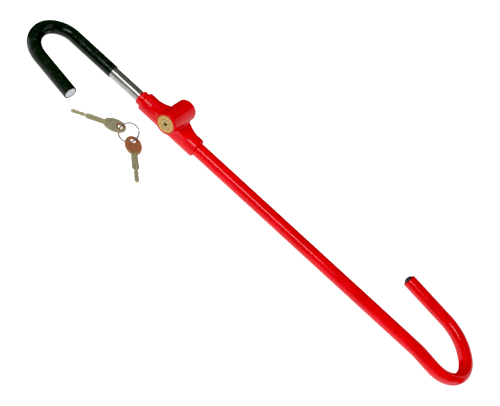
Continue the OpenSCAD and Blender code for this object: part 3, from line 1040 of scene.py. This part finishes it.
@dataclass
class CrossKey:
    """One cross key: a flat oval bow, a four-finned shank and a notched bit.

    Args:
        name: the piece's name.
        node: the node that it stands for.
        body: the body that it rides on.
        swing: the joint at its ring hole.
        heading_deg: the way the bit points.
        warm_reach: how far its warm wear spreads from the hole.
        warm: colour of the wear.
    """

    name: str
    node: str
    body: Body
    swing: str
    heading_deg: float
    warm_reach: float
    warm: Triple
    nose_down_deg: float = 1.4
    bow_long: float = 12.3 * MM
    bow_wide: float = 9.3 * MM
    bow_half: float = 0.75 * MM
    hole_back: float = 6 * MM
    hole_half: float = 2.5 * MM
    hole_stretch: float = 0.6 * MM
    fin_half: float = 0.55 * MM
    fin_mm: tuple[tuple[float, float], ...] = (
        (8.0, 1.2), (9.5, 3.1), (12.5, 3.45), (27.0, 3.85), (29.4, 3.7), (31.2, 2.0), (33.4, 1.75),
        (34.3, 2.6), (36.3, 2.6), (37.1, 1.9), (38.6, 1.9), (39.4, 2.6), (40.2, 2.6), (41.0, 2.1),
        (42.0, 2.1), (42.6, 2.6), (44.2, 2.6), (45.7, 1.9), (46.4, 1.1))

    def matrix(self) -> Matrix:
        """Places the key's own frame: bow centre at the origin, bit along +X."""
        hole = joint(self.swing)["pos_m"]
        turn = spun(self.heading_deg, "Z") @ spun(self.nose_down_deg, "Y")
        return Matrix.Translation(hole) @ turn @ Matrix.Translation((self.hole_back, 0, 0))

    def bow(self) -> Skin:
        """A plate round the ring hole: each section runs from the hole's edge out to the rim."""
        c, s = circle(144)
        rim = np.stack([self.bow_long * c, self.bow_wide * bulged(s, 0.93)], -1)
        stretch = self.hole_stretch * np.tanh(6 * s)
        hole = np.stack([self.hole_half * c - self.hole_back, self.hole_half * s + stretch], -1)
        t, e = self.bow_half, 0.4 * MM
        arc = np.linspace(0, math.pi / 2, 5)
        across = np.array([[0.25, 0, t], [0.5, 0, t], [0.75, 0, t]])
        far = np.column_stack([np.ones(5), -e * (1 - np.sin(arc)), t - e * (1 - np.cos(arc))])
        near = np.column_stack([np.zeros(5), e * (1 - np.cos(arc)), t - e * (1 - np.sin(arc))])
        top = np.vstack([near, across, far])
        loop = np.vstack([top, top[::-1] * np.array([1, 1, -1])])
        share, offset, height = loop[:, 0], loop[:, 1], loop[:, 2]
        span = rim - hole
        unit = span / np.linalg.norm(span, axis=1)[:, None]
        flat = hole[None] + share[:, None, None] * span[None] + offset[:, None, None] * unit[None]
        z = np.broadcast_to(height[:, None, None], flat.shape[:2] + (1,))
        points = np.concatenate([flat, z], -1)
        return Skin(points.reshape(-1, 3), grid_faces(len(loop), len(c), True)).outward()

    def blade(self) -> Skin:
        """Four fins along the key; fin_mm has their half width: shank, shoulder, waist, bit."""
        outline = finer(np.array(self.fin_mm) * MM, 0.7 * MM)
        reach, h, b = outline[:, 1], self.fin_half, 0.22 * MM
        root = np.full(len(reach), h + 0.5 * MM)
        tip = np.maximum(reach, root + 2 * b)
        along = np.stack([root, tip - b, tip, tip, tip - b, root], -1)
        across = np.array([-h, -h, -h + b, h - b, h, h])
        c, s = (part[None, :, None] for part in circle(4))
        y, z = along[:, None] * c - across * s, along[:, None] * s + across * c
        x = np.broadcast_to(outline[:, 0][:, None, None], y.shape)
        rings = np.stack([x, y, z], -1).reshape(len(outline), -1, 3)
        first, last = rings[:1] * np.array([1, 0, 0]), rings[-1:] * np.array([1, 0, 0])
        rings = np.concatenate([first, rings, last])
        return Skin(rings.reshape(-1, 3), grid_faces(len(rings), rings.shape[1], False)).outward()

    def build(self) -> None:
        """Builds and dresses the key."""
        skin = self.bow().with_skin(self.blade()).placed(self.matrix())
        hole = tuple(joint(self.swing)["pos_m"])
        plating = KeyNickel(self.name + "_plating", hole, self.warm_reach, self.warm)
        stand_for(skin.build(self.name, 32.0), self.body, [self.node], plating)


@dataclass
class KeyRing:
    """The split ring: two coils of flat wire with a step where one passes to the other."""

    radius: float = 10.7 * MM
    half_wide: float = 0.75 * MM
    half_thick: float = 0.34 * MM
    tilt_deg: float = 32.0
    start_deg: float = 62.0
    sweep_deg: float = 712.0
    chords: int = 260

    def matrix(self) -> Matrix:
        """Places the ring so that it passes through both keys' holes."""
        a, b = (Vector(joint(name)["pos_m"]) for name in ("first_key_swing", "second_key_swing"))
        span = b - a
        offset = math.sqrt(self.radius ** 2 - (span.length / 2) ** 2)
        turn = Matrix.Rotation(math.atan2(span.y, span.x), 4, "Z")
        tilt = spun(self.tilt_deg, "X")
        return Matrix.Translation((a + b) / 2) @ turn @ tilt @ Matrix.Translation((0, offset, 0))

    def build(self) -> None:
        """A flattened section carried twice round a circle, with closed ends."""
        share = np.linspace(0, 1, self.chords)
        angle = np.radians(self.start_deg + self.sweep_deg * share)
        step = np.clip((share - 0.47) / 0.06, 0, 1)
        height = (eased(step) * 2 - 1) * (self.half_thick + 0.012 * MM)
        c, s = circle(20)
        shrink = np.minimum(1, np.minimum(share, 1 - share) * self.chords / 2)[:, None]
        out = bulged(c, 0.55) * self.half_wide * shrink
        thick = bulged(s, 0.75) * self.half_thick * shrink
        radial = self.radius + out
        points = np.stack([radial * np.cos(angle)[:, None], radial * np.sin(angle)[:, None],
                           height[:, None] + thick], -1)
        skin = Skin(points.reshape(-1, 3), grid_faces(len(angle), len(c), False)).outward()
        wire = Metal("ring_wire", (0.50, 0.51, 0.49), (0.33, 0.33, 0.31), 0.2)
        coils = skin.placed(self.matrix()).build("split_ring_coils", 50.0)
        stand_for(coils, Body.RING, ["split_ring"], wire)


# ---------------------------- inner pieces


@dataclass
class InnerPieces:
    """The pieces inside the head and at the rod's end, which keep their own shapes."""

    zinc: Metal = Metal("zinc_plate", (0.60, 0.61, 0.60), (0.42, 0.43, 0.42), 0.26)
    spring: Metal = Metal("drawn_wire", (0.44, 0.45, 0.47), (0.28, 0.28, 0.30), 0.24)
    ground: Metal = Metal("ground_steel", (0.56, 0.57, 0.58), (0.38, 0.38, 0.39), 0.18,
                          (1.0, 0.05, 1.0))

    def build(self) -> None:
        """Dresses each inner piece with the finish it would have."""
        choice = {
            self.zinc: ("guide_set_screw", "tube_set_screw", "detent_screw", "stop_bush",
                        "driver_pins"),
            self.spring: ("cylinder_pin", "pin_springs", "detent_spring", "plug_clip", "bush_clip"),
            self.ground: ("locking_bar", "detent_ball"),
        }
        for finish, nodes in choice.items():
            for node in nodes:
                dress(frame["nodes"][node], finish)


# ---------------------------- studio


@dataclass(frozen=True)
class SoftBox:
    """A rectangular light aimed at a point; `seen` is whether it shows in reflections."""

    name: str
    place: Triple
    wide: float
    high: float
    power: float
    seen: bool = True
    target: Triple = (0.13, 0.0, 0.0)

    def build(self) -> None:
        """Makes the area light."""
        light = bpy.data.lights.new(self.name, "AREA")
        light.shape, light.energy = "RECTANGLE", self.power
        light.size, light.size_y = self.wide, self.high
        lamp = linked(self.name, light)
        lamp.location = self.place
        aim = Vector(self.target) - Vector(self.place)
        lamp.rotation_euler = aim.to_track_quat("-Z", "Y").to_euler()
        lamp.visible_glossy = self.seen


@dataclass
class Studio:
    """Camera, pale floor and soft light.

    Args:
        surround: pairs of an angle in degrees and a brightness; 0 is level to the front and 90 is
            straight up.
        card: brightness of the card at the back right.
        black_point: value that comes out black.
    """

    lens: float = 42.67
    place: Triple = (135.0 * MM, -481.8 * MM, 457.65 * MM)
    elevation_deg: float = 43.24
    yaw_deg: float = 1.453
    roll_deg: float = 41.49
    surround: tuple[tuple[float, float], ...] = (
        (-180, 0.04), (-120, 0.06), (-88, 0.85), (-20, 0.75), (8, 0.3), (40, 0.25), (85, 0.18),
        (112, 0.15), (140, 0.18), (180, 0.05))
    card: float = 0.65
    black_point: float = 0.035
    lights: tuple[SoftBox, ...] = (
        SoftBox("front_strip", (-0.1, -0.95, 1.15), 1.1, 0.34, 5.6),
        SoftBox("front_fill", (0.2, -1.5, 0.5), 1.6, 1.0, 7.5, False),
        SoftBox("top_box", (-0.55, 0.3, 1.3), 1.2, 1.2, 13.0, False),
        SoftBox("right_fill", (2.4, -0.3, 1.0), 1.0, 1.0, 16.0, False))

    def camera(self) -> None:
        """Looks down at the bar, turned about its line of sight so the bar runs down the frame."""
        data = bpy.data.cameras.new("studio_camera")
        data.lens, data.sensor_width, data.clip_start, data.clip_end = self.lens, 36.0, 0.01, 30.0
        camera = linked("studio_camera", data)
        aim = spun(self.yaw_deg, "Z") @ spun(90 - self.elevation_deg, "X")
        camera.matrix_world = Matrix.Translation(self.place) @ aim @ spun(self.roll_deg, "Z")
        bpy.context.scene.camera = camera

    def floor(self) -> None:
        """A wide flat sheet a hair under the lock, kept out of its reflections as by dark card."""
        half, drop = 4.0, 0.00005
        mesh = bpy.data.meshes.new("floor")
        corners = [(x * half, y * half, -drop) for x, y in ((-1, -1), (1, -1), (1, 1), (-1, 1))]
        mesh.from_pydata(corners, [], [(0, 1, 2, 3)])
        sheet = linked("floor", mesh)
        dress(sheet, PaleFloor())
        sheet.visible_glossy = False

    def sky(self) -> None:
        """A soft surround: brightness by the angle from the front over the top, and a card."""
        world = bpy.data.worlds.new("surround")
        bpy.context.scene.world = world
        g = Graph(world)
        side, back, up = g.parts(g.node("ShaderNodeTexCoord").outputs["Generated"])
        angle = g.value("ShaderNodeMath", {"operation": "ARCTAN2"}, {0: up, 1: -back})
        turn = angle / (2 * math.pi) + 0.5
        stops = [(0.5 + degrees / 360, (level,) * 3) for degrees, level in self.surround]
        ramp = g.node("ShaderNodeValToRGB", {"stops": stops}, {0: turn})
        corner = side.between(0.22, 0.42) * back.between(0.2, 0.5)
        card = g.mixed(corner, ramp.outputs[0], (self.card,) * 3)
        light = g.node("ShaderNodeBackground", None, {"Color": card})
        g.node("ShaderNodeOutputWorld", None, {"Surface": light.outputs[0]})

    def tone(self) -> None:
        """Plain colour with a raised black point, as in a product picture on white."""
        view = bpy.context.scene.view_settings
        view.view_transform = "Standard"
        view.use_curve_mapping = True
        view.curve_mapping.black_level = (self.black_point,) * 3
        view.curve_mapping.update()

    def build(self) -> None:
        """Sets up the camera, floor, surround, lights and tone."""
        self.camera()
        self.floor()
        self.sky()
        for light in self.lights:
            light.build()
        self.tone()


# ---------------------------- the whole lock


def main() -> None:
    """Builds the studio and every sub-assembly in order."""
    logging.basicConfig(level=logging.INFO, format="%(name)s: %(message)s")
    Studio().build()
    HookBar().build()
    PedalTube().build()
    LockHead().build()
    InnerPieces().build()
    CrossKey("cross_key_a", "key_a", Body.KEY_A, "first_key_swing", 212.5,
             5.0 * MM, (0.46, 0.18, 0.10)).build()
    CrossKey("cross_key_b", "key_b", Body.KEY_B, "second_key_swing", -44.7,
             17.5 * MM, (0.50, 0.17, 0.085)).build()
    KeyRing().build()


if __name__ == "__main__":
    main()
